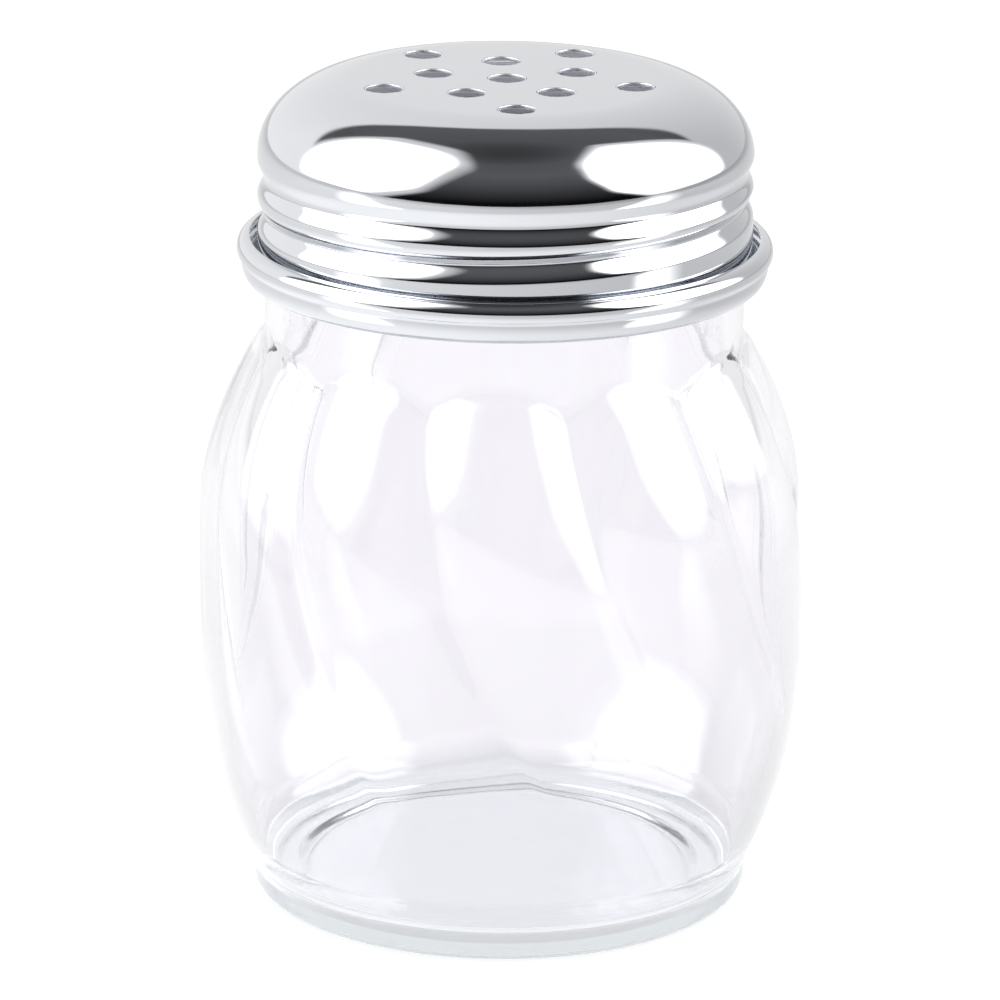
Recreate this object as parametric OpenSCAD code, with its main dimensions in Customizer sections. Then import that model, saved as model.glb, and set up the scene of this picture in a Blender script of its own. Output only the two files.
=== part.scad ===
// Table shaker for grated cheese: a swirled glass jar with a perforated metal screw lid.
// The axis is +Z and the jar's foot stands on z = 0. The camera side is -Y.

/* [Overall] */
// Height from the foot to the flat top of the lid
total_h = 98.5; // [94:0.5:106]

/* [Jar body] */
// Radius over the crests of the lobes at the belly
belly_r = 36.2; // [34:0.1:40]
// Height over which the belly draws in to the heel band
foot_h = 27; // [20:0.5:32]
// Height over which the belly draws in to the ends of the lobes
shoulder_h = 22.7; // [16:0.1:30]
// Radius of the body where it meets the heel band
foot_r = 29.8; // [28:0.1:32]
// How far the heel band stands back under the body
heel_step = 0.2; // [0.1:0.1:1]
// Height of the plain heel band
heel_h = 4; // [3:0.1:6]
// Rounding of the heel's lower edge
heel_round = 1; // [0.6:0.1:2.4]
// Height of the plain neck, from the ends of the lobes to the rim of the lid
neck_h = 8.2; // [5:0.1:12]
// How far the crests of the lobes stand out from the neck where they end
lobe_rise = 1.2; // [0.2:0.1:2.5]
// Height over which the ends of the lobes round off into the neck
shoulder_round = 1.3; // [0.5:0.1:2.5]
// Radius of the neck that shows under the lid
neck_r = 28.2; // [26:0.1:30]
// Thickness of the glass behind the valleys
wall = 2.2; // [1.6:0.1:3]
// Thickness of the glass floor
floor_t = 3.6; // [3:0.1:6]
// Rounding where the floor meets the wall inside
floor_round = 7; // [4:0.1:8]
// Depth of the shallow hollow under the floor
push_up = 1.2; // [0.6:0.1:1.5]
// Width of the flat ring that the jar stands on
foot_ring_w = 4; // [2.5:0.1:7]

/* [Swirl] */
// Number of lobes round the jar
lobes = 11; // [8:1:14]
// Depth of the valleys between the lobes at the shoulder
lobe_depth = 2; // [0.6:0.1:2.4]
// Angle that a valley turns through between the heel and the shoulder
swirl_angle = 48; // [0:0.5:70]
// How the swirl gathers towards the heel: 1 turns evenly, and more turns later
swirl_power = 1.7; // [1:0.1:2]
// Bearing of one valley at the shoulder, from the +X axis
swirl_bearing = 285; // [0:0.5:360]

/* [Jar mouth] */
// How far the mouth's outer wall stands back from the neck, at the root of the thread
finish_step = 1.5; // [1:0.1:2.5]
// Thickness of the mouth's wall
finish_wall = 2.6; // [2.2:0.1:3.2]
// Rounding of the lip
lip_round = 1; // [0.5:0.1:1.1]
// How far the neck reaches up inside the lid
neck_tuck = 1; // [0.4:0.1:1.6]

/* [Thread] */
// Rise of the thread in one turn
thread_pitch = 4.4; // [3.6:0.1:5.5]
// Turns of the thread
thread_turns = 1.85; // [1.5:0.05:2]
// Turns after which the thread rises more slowly into its end
thread_even_turns = 1.4; // [0.8:0.1:1.4]
// Half the width of one ridge or groove
thread_half_w = 1.45; // [1.1:0.05:1.7]
// Depth of the groove that is rolled into the lid
groove_depth = 0.75; // [0.4:0.05:0.85]
// Bearing where the groove of the lid starts, from the +X axis
thread_bearing = 110; // [0:5:360]

/* [Lid] */
// Width of the rounded shoulder round the flat top
dome_w = 11.2; // [9:0.1:13]
// Height of the rounded shoulder above the skirt
dome_h = 8.8; // [7:0.1:11]
// Thickness of the sheet metal
sheet_t = 0.45; // [0.35:0.05:0.6]
// Height of the curl at the rim, over its two beads
curl_h = 4.9; // [4:0.1:6]
// Width of the curl's upper bead
curl_w = 2.9; // [2.4:0.1:3.4]
// Width of the curl's lower bead
foot_bead_w = 2.4; // [2:0.1:2.8]
// How far the two beads run into each other at the waist between them
bead_overlap = 0.3; // [0.2:0.05:0.6]
// Slot between the curl's free edge and the skirt
curl_slot = 0.6; // [0.4:0.05:0.8]
// Plain skirt left above and below the thread
thread_land = 0.17; // [0.1:0.01:1]

/* [Holes] */
// Diameter of one dispensing hole
hole_d = 4.4; // [3:0.1:4.8]
// Holes in each of the two rings
ring_holes = 5; // [4:1:5]
// Radius of the inner ring of holes
inner_ring_r = 8.8; // [8.2:0.1:9.6]
// Flat land left outside the outer ring of holes
hole_land = 0.3; // [0.1:0.1:2]
// Bearing of one hole of the outer ring, from the +X axis
holes_bearing = 274.5; // [0:0.5:360]

/* [Fits] */
// Gap between the neck and the inside of the lid
neck_gap = 0.35; // [0.3:0.05:0.6]
// Gap between the jar's lip and the inside of the lid
seat_gap = 0.3; // [0.2:0.05:0.4]
// Gap between the jar's thread and the narrowest part of the lid
thread_gap = 0.3; // [0.2:0.05:0.4]

/* [Hidden] */
$fn = 96;
// A full turn and a right angle
turn = 360;
right_angle = 90;
// Facets on each lobe, and round the lid's skirt
lobe_facets = 8;
skirt_facets = 72;
// Levels up the body, the thread and one rounding
body_levels = 20;
thread_levels = 16;
round_levels = 4;
// Segments along the dome's and the curl's outlines
dome_segments = 16;
curl_segments = 28;
// Overrun of the cuts, and inset where a faceted ring meets a true one
over = 1;
inset = 0.05;
// Share of the thread's turns that each end takes to fade
fade_share = 0.12;
// Share of the full rise that is left after the even turns
easing_share = 0.25;
// Share of the bore's step that each level of the neck's inside takes
neck_blend_share = 0.75;

// Places that follow from the sizes
lid_in_r = neck_r + neck_gap;
lid_r = lid_in_r + sheet_t;
top_r = lid_r - dome_w;
outer_ring_r = top_r - hole_land - hole_d / 2;
finish_r = neck_r - finish_step;
heel_r = foot_r - heel_step;
// The skirt is as long as its thread needs.
thread_rise = thread_pitch * (thread_even_turns + easing_share * (thread_turns - thread_even_turns));
lid_h = curl_h + dome_h + thread_rise + 2 * (thread_half_w + thread_land);
lid_z = total_h - lid_h;
dome_z = total_h - dome_h;
shoulder_z = lid_z - neck_h;
bead_h = (curl_h + bead_overlap) / 2;
foot_bead_z = lid_z + bead_h / 2;
curl_z = lid_z + curl_h - bead_h / 2;
skirt_z = lid_z + curl_h + thread_land;
neck_top_z = lid_z + neck_tuck;
bore_r = finish_r - finish_wall;
// The narrowest inside of the lid is behind the groove; the jar's thread stays clear of it.
thread_h = lid_in_r - groove_depth - thread_gap - finish_r;
// The lip's rounding stays one gap away from the inside of the dome.
lip_share = (finish_r - lip_round - top_r) / (dome_w - sheet_t - lip_round - seat_gap);
lip_rise = (dome_h - sheet_t - lip_round - seat_gap) * sqrt(1 - pow(lip_share, 2));
lip_z = dome_z + lip_rise;
jar_h = lip_z + lip_round;
groove_low_z = skirt_z + thread_half_w;
// The jar's ridge runs half a turn's rise under the lid's groove, in the widest part of the lid.
ridge_low_z = groove_low_z - thread_pitch / 2;

function smooth(x) = let (c = min(1, max(0, x))) c * c * (3 - 2 * c);

// Radius over the crests at height z: two parabolas that draw in from a straight belly.
function crest_r(z) =
    let (
        down_share = max(0, (heel_h + foot_h - z) / foot_h),
        up_share = max(0, (z - shoulder_z + shoulder_h) / shoulder_h)
    )
    belly_r - max(
        (belly_r - foot_r) * down_share * down_share,
        (belly_r - neck_r - lobe_rise) * up_share * up_share
    );

// Bearing of the first valley at height z of the body.
function swirl(z) =
    swirl_bearing + swirl_angle * pow(max(0, shoulder_z - z) / (shoulder_z - heel_h), swirl_power);

// Depth of the valleys at height z, from nothing at the heel.
function valley_depth(z) = lobe_depth * max(0, (z - heel_h) / (shoulder_z - heel_h));

// Radius of the outside, with the lobes, at a bearing and a height of the body. A lobe is a
// rounded crest between two sharp valleys, and none of it goes inside the neck.
function body_r(bearing, z) =
    let (
        pitch = turn / lobes,
        along = (bearing - swirl(z)) / pitch,
        across = 2 * (along - floor(along)) - 1
    )
    z < shoulder_z
        ? max(min(neck_r, crest_r(z)), crest_r(z) - valley_depth(z) * across * across)
        : neck_r;

// Height of the thread's middle at an angle along it: it rises evenly, then more slowly to its end.
function thread_z(angle) =
    let (even = thread_even_turns * turn)
    thread_pitch / turn * (min(angle, even) + easing_share * max(0, angle - even));

// How much of a ridge or groove stands at a bearing and a height above its start, from 0 to 1.
function thread_share(bearing, height) =
    max([
        for (k = [0:ceil(thread_turns)])
            let (
                start = bearing - floor(bearing / turn) * turn,
                angle = start + k * turn,
                part = angle / (thread_turns * turn),
                ends = smooth(part / fade_share) * smooth((1 - part) / fade_share),
                off = abs(height - thread_z(angle)) / thread_half_w
            )
            part < 1 ? ends * smooth(1 - off) : 0
    ]);

// A closed solid from rings of points that run upwards; its two ends are flat.
module stacked(rings) {
    around = len(rings[0]);
    last = len(rings) - 1;
    polyhedron(
        points = [for (ring = rings) each ring],
        faces = concat(
            [[for (i = [0:around - 1]) i]],
            [[for (i = [0:around - 1]) last * around + around - 1 - i]],
            [for (k = [0:last - 1], i = [0:around - 1])
                let (j = (i + 1) % around)
                [k * around + i, (k + 1) * around + i, (k + 1) * around + j]],
            [for (k = [0:last - 1], i = [0:around - 1])
                let (j = (i + 1) % around)
                [k * around + i, (k + 1) * around + j, k * around + j]]
        ),
        convexity = 6
    );
}

// A closed wall from rings of points outside and inside; both its ends are flat.
module walled(outer, inner) {
    around = len(outer[0]);
    levels = len(outer);
    loops = concat(outer, [for (k = [levels - 1:-1:0]) inner[k]]);
    count = len(loops);
    polyhedron(
        points = [for (ring = loops) each ring],
        faces = concat(
            [for (k = [0:count - 1], i = [0:around - 1])
                let (j = (i + 1) % around, n = (k + 1) % count)
                [k * around + i, n * around + i, n * around + j]],
            [for (k = [0:count - 1], i = [0:around - 1])
                let (j = (i + 1) % around, n = (k + 1) % count)
                [k * around + i, n * around + j, k * around + j]]
        ),
        convexity = 6
    );
}

function on_circle(r, bearing, z) = [r * cos(bearing), r * sin(bearing), z];

// The jar's outside as one solid, from the heel's rounding up to the lip's.
module jar_outside() {
    facets = lobes * lobe_facets;
    step = turn / facets;
    // The facets' corners turn with the swirl on the body, so that each valley stays a crisp edge.
    heel = [for (k = [0:round_levels])
        let (u = right_angle * k / round_levels)
        [for (i = [0:facets - 1])
            on_circle(heel_r - heel_round * (1 - sin(u)), swirl_bearing + swirl_angle + i * step,
                heel_round * (1 - cos(u)))]];
    heel_top = [[for (i = [0:facets - 1])
        on_circle(heel_r, swirl_bearing + swirl_angle + i * step, heel_h - (foot_r - heel_r))]];
    body = [for (k = [0:body_levels])
        let (z = heel_h + (shoulder_z - heel_h) * k / body_levels)
        [for (i = [0:facets - 1])
            let (bearing = swirl(z) + i * step)
            on_circle(body_r(bearing, z), bearing, z)]];
    neck = [for (p = [
            [neck_r, shoulder_z + shoulder_round],
            [neck_r, neck_top_z],
            [finish_r, neck_top_z + (neck_r - finish_r) / 2]
        ])
        [for (i = [0:facets - 1])
            on_circle(p[0], swirl_bearing + i * step, p[1])]];
    low_z = neck_top_z + (neck_r - finish_r);
    thread = [for (k = [1:thread_levels])
        let (z = low_z + (lip_z - low_z) * k / (thread_levels + 1))
        [for (i = [0:facets - 1])
            let (
                bearing = swirl_bearing + i * step,
                ridge = thread_share(bearing - thread_bearing, z - ridge_low_z)
            )
            on_circle(finish_r + thread_h * ridge, bearing, z)]];
    lip = [for (k = [0:round_levels])
        let (u = right_angle * k / round_levels)
        [for (i = [0:facets - 1])
            on_circle(finish_r - lip_round * (1 - cos(u)), swirl_bearing + i * step,
                lip_z + lip_round * sin(u))]];
    stacked(concat(heel, heel_top, body, neck, thread, lip));
}

// Inside radius of the body, one wall behind the valleys.
function inside_r(z) = max(min(neck_r, crest_r(z)), crest_r(z) - valley_depth(z)) - wall;

// The hollow of the jar, a plain turned shape that ends above the lip.
module jar_hollow() {
    corner_r = inside_r(floor_t + floor_round) - floor_round;
    floor_corner = [for (k = [0:round_levels])
        let (u = right_angle * k / round_levels)
        [corner_r + floor_round * sin(u), floor_t + floor_round * (1 - cos(u))]];
    side = [for (k = [1:body_levels])
        let (
            low_z = floor_t + floor_round,
            z = low_z + (shoulder_z - low_z) * k / body_levels
        )
        [inside_r(z), z]];
    lip_edge = [for (k = [0:round_levels])
        let (u = right_angle * k / round_levels)
        [bore_r + lip_round * (1 - cos(u)), lip_z + lip_round * sin(u)]];
    rotate_extrude()
        polygon(concat(
            [[0, floor_t]],
            floor_corner,
            side,
            [[bore_r, shoulder_z + neck_blend_share * (neck_top_z - shoulder_z)]],
            lip_edge,
            [[bore_r + lip_round, jar_h + over], [0, jar_h + over]]
        ));
}

// The shallow hollow under the floor, with sloped sides.
module jar_push_up() {
    edge_r = heel_r - heel_round - foot_ring_w;
    rotate_extrude()
        polygon([
            [0, -over],
            [edge_r + over, -over],
            [edge_r, 0],
            [edge_r - push_up, push_up],
            [0, push_up]
        ]);
}

module jar() {
    color([0.86, 0.9, 0.93, 0.4])
        difference() {
            jar_outside();
            jar_hollow();
            jar_push_up();
        }
}

// Points of a quarter ellipse, from straight above its middle to straight beside it.
function quarter(middle_r, middle_z, a, b) =
    [for (k = [0:dome_segments])
        let (u = right_angle * k / dome_segments)
        [middle_r + a * sin(u), middle_z + b * cos(u)]];

function backwards(list) = [for (k = [len(list) - 1:-1:0]) list[k]];

// The flat top and its rounded shoulder, in sheet metal.
module lid_dome() {
    rotate_extrude()
        polygon(concat(
            [[0, total_h]],
            quarter(top_r, dome_z, dome_w, dome_h),
            backwards(quarter(top_r, dome_z, dome_w - sheet_t, dome_h - sheet_t)),
            [[0, total_h - sheet_t]]
        ));
}

// The skirt with its rolled screw thread: the sheet keeps its thickness through the groove.
module lid_skirt() {
    step = turn / skirt_facets;
    function ring(r, level) =
        let (z = skirt_z + (dome_z - skirt_z) * level / thread_levels)
        [for (i = [0:skirt_facets - 1])
            let (dent = groove_depth * thread_share(i * step - thread_bearing, z - groove_low_z))
            on_circle(r - dent, i * step, z)];
    walled(
        [for (k = [0:thread_levels]) ring(lid_r - inset, k)],
        [for (k = [0:thread_levels]) ring(lid_in_r + inset, k)]
    );
}

// Outline of one bead of the curl, drawn in by the sheet's thickness for its hollow.
module bead(width, middle_z, draw_in) {
    polygon([
        for (k = [0:curl_segments - 1])
            let (u = turn * k / curl_segments)
            [lid_in_r + width / 2 + (width / 2 - draw_in) * cos(u), middle_z + (bead_h / 2 - draw_in) * sin(u)]
    ]);
}

// The rim: the sheet turns outwards and up in a hollow curl of two beads, with a waist between
// them. Its free edge stands off the skirt.
module lid_curl() {
    rotate_extrude()
        union() {
            difference() {
                union() {
                    bead(curl_w, curl_z, 0);
                    bead(foot_bead_w, foot_bead_z, 0);
                }
                bead(curl_w, curl_z, sheet_t);
                bead(foot_bead_w, foot_bead_z, sheet_t);
                translate([lid_r, foot_bead_z])
                    square([curl_slot, curl_h]);
            }
            translate([lid_in_r, foot_bead_z])
                square([sheet_t, skirt_z - foot_bead_z]);
        }
}

// One hole in the middle, a ring of holes round it, and an outer ring set half a step off.
module lid_holes() {
    module hole() {
        translate([0, 0, total_h - sheet_t - over])
            cylinder(d = hole_d, h = sheet_t + 2 * over);
    }
    hole();
    for (i = [0:ring_holes - 1]) {
        rotate(holes_bearing + (i + 1 / 2) * turn / ring_holes)
            translate([inner_ring_r, 0])
                hole();
        rotate(holes_bearing + i * turn / ring_holes)
            translate([outer_ring_r, 0])
                hole();
    }
}

module lid() {
    color([0.8, 0.81, 0.83]) {
        difference() {
            lid_dome();
            lid_holes();
        }
        lid_skirt();
        lid_curl();
    }
}

jar();
lid();
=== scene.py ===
# Table shaker for grated cheese: a swirled clear glass jar with a chromed screw lid.

import math

import bpy
import numpy as np
from bpy.props import FloatProperty, IntProperty, PointerProperty, StringProperty
from mathutils import Matrix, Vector
from mathutils.geometry import delaunay_2d_cdt


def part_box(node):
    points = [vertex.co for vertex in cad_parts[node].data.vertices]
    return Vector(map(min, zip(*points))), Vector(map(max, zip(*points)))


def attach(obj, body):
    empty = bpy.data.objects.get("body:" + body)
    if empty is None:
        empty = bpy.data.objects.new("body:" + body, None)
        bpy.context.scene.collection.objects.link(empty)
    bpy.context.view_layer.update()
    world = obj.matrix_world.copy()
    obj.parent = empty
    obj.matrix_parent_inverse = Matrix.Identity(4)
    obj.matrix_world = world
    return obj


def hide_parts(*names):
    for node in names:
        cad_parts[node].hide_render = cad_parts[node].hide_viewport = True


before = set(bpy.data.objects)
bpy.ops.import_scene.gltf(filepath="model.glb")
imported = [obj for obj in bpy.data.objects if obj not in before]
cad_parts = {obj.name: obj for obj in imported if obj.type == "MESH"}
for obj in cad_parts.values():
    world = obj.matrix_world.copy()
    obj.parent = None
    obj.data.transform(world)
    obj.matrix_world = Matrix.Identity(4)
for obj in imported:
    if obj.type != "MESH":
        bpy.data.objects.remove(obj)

bl_info = {
    "name": "Cheese Shaker",
    "version": (1, 0, 0),
    "blender": (4, 5, 0),
    "location": "View3D > Sidebar > Shaker",
    "description": "Makes the glass jar, the chromed lid and the stage of a cheese shaker",
    "category": "Add Mesh",
}

MM = 0.001
JAR_LOW, JAR_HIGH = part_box("jar")
LID_LOW, LID_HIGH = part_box("lid")


class JarSizes(bpy.types.PropertyGroup):
    """Sizes of the glass jar."""

    lobes: IntProperty(name="Lobes", description="Lobes round the jar", default=11)
    belly_r: FloatProperty(
        name="Belly radius", description="Over the crests of the lobes",
        default=36.15 * MM, subtype="DISTANCE",
    )
    foot_h: FloatProperty(
        name="Foot height", description="Over which the belly draws in to the heel",
        default=27 * MM, subtype="DISTANCE",
    )
    shoulder_h: FloatProperty(
        name="Shoulder height",
        description="Over which the belly draws in to the ends of the lobes",
        default=22.7 * MM, subtype="DISTANCE",
    )
    foot_r: FloatProperty(
        name="Foot radius", description="Where the body meets the heel",
        default=29.75 * MM, subtype="DISTANCE",
    )
    heel_r: FloatProperty(
        name="Heel radius", description="Plain band that the jar stands on",
        default=29.55 * MM, subtype="DISTANCE",
    )
    heel_h: FloatProperty(
        name="Heel height", description="Height of the plain band",
        default=4 * MM, subtype="DISTANCE",
    )
    heel_round: FloatProperty(
        name="Heel rounding", description="Of its lower edge", default=1.4 * MM, subtype="DISTANCE"
    )
    shoulder_z: FloatProperty(
        name="Shoulder", description="Height where the lobes end",
        default=66.7 * MM, subtype="DISTANCE",
    )
    shoulder_r: FloatProperty(
        name="Shoulder radius", description="Over the crests where the lobes end",
        default=29.4 * MM, subtype="DISTANCE",
    )
    shoulder_round: FloatProperty(
        name="Shoulder rounding",
        description="Height of the hollow bend between the lobes' ends and the neck",
        default=2.4 * MM, subtype="DISTANCE",
    )
    neck_r: FloatProperty(
        name="Neck radius", description="Of the plain neck under the lid",
        default=28.15 * MM, subtype="DISTANCE",
    )
    lobe_depth: FloatProperty(
        name="Lobe depth", description="Depth of the valleys at the shoulder",
        default=2.5 * MM, subtype="DISTANCE",
    )
    lobe_full_share: FloatProperty(
        name="Full lobes",
        description="Share of the body's height over which the lobes keep their depth",
        default=0.25,
    )
    lobe_fade_share: FloatProperty(
        name="Fading lobes",
        description="Share of the body's height over which they fade below that",
        default=0.52,
    )
    valley_share: FloatProperty(
        name="Valley softness",
        description="Share of half a lobe that the bottom of a valley is rounded over",
        default=0.07,
    )
    swirl_turn: FloatProperty(
        name="Swirl", description="Angle that a valley turns through from shoulder to heel",
        default=math.radians(48), subtype="ANGLE",
    )
    swirl_power: FloatProperty(
        name="Swirl gathering", description="1 turns evenly, more turns later", default=1.7
    )
    swirl_bearing: FloatProperty(
        name="Swirl bearing", description="Of one valley at the shoulder",
        default=math.radians(285), subtype="ANGLE",
    )
    inner_share: FloatProperty(
        name="Inner lobes", description="Share of the lobes' relief that the inside follows",
        default=0.95,
    )
    wall: FloatProperty(
        name="Wall", description="Thickness of the glass behind the valleys",
        default=2.2 * MM, subtype="DISTANCE",
    )
    floor_t: FloatProperty(
        name="Floor", description="Thickness of the glass floor",
        default=3.0 * MM, subtype="DISTANCE",
    )
    floor_round: FloatProperty(
        name="Floor rounding", description="Where the floor meets the wall inside",
        default=4.5 * MM, subtype="DISTANCE",
    )
    push_up: FloatProperty(
        name="Push-up", description="Depth of the hollow under the floor",
        default=0.6 * MM, subtype="DISTANCE",
    )
    foot_ring: FloatProperty(
        name="Foot ring", description="Width of the flat ring that the jar stands on",
        default=3 * MM, subtype="DISTANCE",
    )
    finish_r: FloatProperty(
        name="Mouth radius", description="At the root of the thread",
        default=26.65 * MM, subtype="DISTANCE",
    )
    bore_r: FloatProperty(
        name="Mouth opening", description="Inside radius of the mouth",
        default=24.1 * MM, subtype="DISTANCE",
    )
    lip_round: FloatProperty(
        name="Lip", description="Rounding of the lip", default=1.0 * MM, subtype="DISTANCE",
    )
    glass: StringProperty(
        name="Glass", description="Colour of the clear soda-lime glass, sRGB", default="#FDFCFF"
    )
    # darker glass at the foot: partly its thicker glass, partly painted shade of the jar's shadow
    # seen through it
    foot_glass_and_shade: StringProperty(
        name="Foot glass", description="Colour of the thicker glass at the foot, sRGB",
        default="#E6E7EB",
    )


class LidSizes(bpy.types.PropertyGroup):
    """Sizes of the chromed lid."""

    skirt_r: FloatProperty(
        name="Skirt radius", description="Over the ridges between the grooves",
        default=29.0 * MM, subtype="DISTANCE",
    )
    top_r: FloatProperty(
        name="Top radius", description="Of the flat top", default=17.8 * MM, subtype="DISTANCE"
    )
    dome_h: FloatProperty(
        name="Dome height", description="Of the rounded shoulder above the skirt",
        default=8.8 * MM, subtype="DISTANCE",
    )
    sheet_t: FloatProperty(
        name="Sheet", description="Thickness of the sheet metal",
        default=0.45 * MM, subtype="DISTANCE",
    )
    groove_depth: FloatProperty(
        name="Groove depth", description="Of the rolled screw thread",
        default=0.95 * MM, subtype="DISTANCE",
    )
    thread_pitch: FloatProperty(
        name="Thread pitch", description="Rise of the thread in one turn",
        default=4.5 * MM, subtype="DISTANCE",
    )
    thread_z: FloatProperty(
        name="Thread start", description="Height of the groove's middle where it starts",
        default=81.5 * MM, subtype="DISTANCE",
    )
    thread_bearing: FloatProperty(
        name="Thread bearing", description="Where the groove starts",
        default=math.radians(110), subtype="ANGLE",
    )
    bead_r: FloatProperty(
        name="Rim radius", description="Over the curl's upper bead",
        default=31.42 * MM, subtype="DISTANCE",
    )
    foot_bead_r: FloatProperty(
        name="Lower rim radius", description="Over the curl's lower bead",
        default=30.95 * MM, subtype="DISTANCE",
    )
    bead_h: FloatProperty(
        name="Bead height", description="Of each of the curl's two beads",
        default=2.6 * MM, subtype="DISTANCE",
    )
    curl_h: FloatProperty(
        name="Curl height", description="Over both beads", default=4.9 * MM, subtype="DISTANCE"
    )
    hole_d: FloatProperty(
        name="Hole", description="Diameter of one dispensing hole",
        default=4.3 * MM, subtype="DISTANCE",
    )
    inner_ring_r: FloatProperty(
        name="Inner holes", description="Radius of the inner ring of holes",
        default=8.8 * MM, subtype="DISTANCE",
    )
    outer_ring_r: FloatProperty(
        name="Outer holes", description="Radius of the outer ring of holes",
        default=15.3 * MM, subtype="DISTANCE",
    )
    holes_bearing: FloatProperty(
        name="Holes bearing", description="Of one hole of the outer ring",
        default=math.radians(274.5), subtype="ANGLE",
    )
    chrome: StringProperty(
        name="Chrome", description="Colour that bright chrome plate mirrors with, sRGB",
        default="#D0D2D6",
    )
    bare: StringProperty(
        name="Inside", description="Colour of the sheet's dull inside, sRGB", default="#DCDEE2",
    )


class StageLook(bpy.types.PropertyGroup):
    """The camera's place and the studio."""

    camera_y: FloatProperty(
        name="Camera distance", description="In front of the axis",
        default=-0.7, subtype="DISTANCE",
    )
    camera_z: FloatProperty(
        name="Camera height", description="Above the table", default=0.2643, subtype="DISTANCE",
    )
    pitch: FloatProperty(
        name="Pitch", description="Down from level", default=math.radians(17.23), subtype="ANGLE",
    )
    roll: FloatProperty(
        name="Roll", description="Of the photographer's camera",
        default=math.radians(0.68), subtype="ANGLE",
    )
    yaw: FloatProperty(
        name="Yaw", description="To the left of the axis",
        default=math.radians(0.0185), subtype="ANGLE",
    )
    lens: FloatProperty(
        name="Lens", description="Focal length in mm on a 36 mm sensor", default=222.5,
    )
    paper: StringProperty(
        name="Paper", description="Colour of the white sweep, sRGB", default="#FFFFFF",
    )


def linear(code):
    """Linear colour of an sRGB hex code: each channel through the standard curve."""
    values = np.array([int(code[i : i + 2], 16) for i in (1, 3, 5)]) / 255
    return [*np.where(values <= 0.04045, values / 12.92, ((values + 0.055) / 1.055) ** 2.4), 1.0]


def node(tree, kind, inputs=None, **settings):
    """Adds a shader node, sets its properties and sockets, and links sockets given as outputs.

    A node given for a socket stands for its first output.
    """
    made = tree.nodes.new("ShaderNode" + kind)
    for name, value in settings.items():
        setattr(made, name, value)
    for key, value in (inputs or {}).items():
        if isinstance(value, bpy.types.Node):
            value = value.outputs[0]
        if isinstance(value, bpy.types.NodeSocket):
            tree.links.new(value, made.inputs[key])
        else:
            made.inputs[key].default_value = value
    return made


def smooth(x):
    """Smooth step from 0 to 1, level at both ends."""
    x = np.clip(x, 0, 1)
    return x * x * (3 - 2 * x)


def strips(rings):
    """Quads between neighbouring rings, and the points' indices round the first ring.

    Quad i of strip k joins points i and i + 1 of ring k with the same two of ring k + 1.
    """
    levels, around, _ = rings.shape
    i = np.arange(around)
    j = (i + 1) % around
    k = np.arange(levels - 1)[:, None] * around
    return np.stack([k + i, k + j, k + around + j, k + around + i], -1).reshape(-1, 4), i, j


def closed_surface(rings, first_pole, last_pole):
    """Mesh data of a closed surface from an array of rings, with a point at each end.

    Quads join each ring with the next, and a fan closes each end.
    """
    levels, around, _ = rings.shape
    points = np.concatenate([rings.reshape(-1, 3), [first_pole, last_pole]])
    quads, i, j = strips(rings)
    low = np.stack([np.full(around, levels * around), j, i], -1)
    top = (levels - 1) * around
    high = np.stack([np.full(around, levels * around + 1), top + i, top + j], -1)
    return points, quads, np.concatenate([low, high])


def put_mesh(name, points, quads, triangles, material):
    """Makes an object at the origin from points and faces given as whole arrays, shaded smooth."""
    mesh = bpy.data.meshes.new(name)
    corners = np.concatenate([quads.ravel(), triangles.ravel()])
    sizes = np.concatenate([np.full(len(quads), 4), np.full(len(triangles), 3)])
    starts = np.concatenate([[0], np.cumsum(sizes)[:-1]])
    mesh.vertices.add(len(points))
    mesh.vertices.foreach_set("co", points.astype(np.float32).ravel())
    mesh.loops.add(len(corners))
    mesh.loops.foreach_set("vertex_index", corners.astype(np.int32))
    mesh.polygons.add(len(sizes))
    mesh.polygons.foreach_set("loop_start", starts.astype(np.int32))
    mesh.polygons.foreach_set("use_smooth", np.ones(len(sizes), bool))
    mesh.update(calc_edges=True)
    mesh.validate()
    mesh.materials.append(material)
    piece = bpy.data.objects.new(name, mesh)
    bpy.context.scene.collection.objects.link(piece)
    return piece


def arc(middle, radii, start, end, count):
    """Points (radius, height) of an ellipse's arc about its middle.

    The angles are in degrees from outward, and up is positive.
    """
    t = np.radians(np.linspace(start, end, count))
    return np.stack([middle[0] + radii[0] * np.cos(t), middle[1] + radii[1] * np.sin(t)], -1)


def line(start, end, count):
    """Evenly spaced points (radius, height) along a straight line, without its last one."""
    t = np.linspace(0, 1, count, endpoint=False)[:, None]
    return np.array(start) * (1 - t) + np.array(end) * t


def upright(r, start, end, count):
    """Evenly spaced points (radius, height) up or down a wall of one radius."""
    return np.stack([np.full(count, r), np.linspace(start, end, count)], -1)


def ring(radius, bearing, z):
    """One ring of points: a radius, or one for each bearing, at one height."""
    height = np.full(len(bearing), z)
    return np.stack([radius * np.cos(bearing), radius * np.sin(bearing), height], -1)


AROUND_LOBE = 28
BODY_LEVELS = 84
# a film of air under the foot, so that the glass and the paper don't share a plane
FOOT_GAP = 0.05 * MM
# the push-up is flat up to this share of its radius, and steps down smoothly from there
PUSH_UP_FLAT = 0.88
# the plain heel runs into the lobed body over this height, from this far under the heel's top
HEEL_SEAM_H = 1.2 * MM
HEEL_SEAM_BELOW = 0.8 * MM
# the neck goes this far up inside the lid, and steps in to the mouth over this height
NECK_HIDDEN_H = 1.0 * MM
NECK_STEP_H = 0.8 * MM
# the jar's ridge: its turns, the share of them that each end fades over, half its width, and
# its running gap to the lid's groove
RIDGE_TURNS = 1.85
RIDGE_END_SHARE = 0.12
RIDGE_HALF_W = 1.3 * MM
RIDGE_GAP = 0.25 * MM
# the inside's lobes fade out over this height above the floor's rounding
INNER_FADE_H = 8 * MM
# the inside runs into the neck from this far under the shoulder, over this height
NECK_BLEND_BELOW = 1.5 * MM
NECK_BLEND_H = 3.5 * MM
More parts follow.
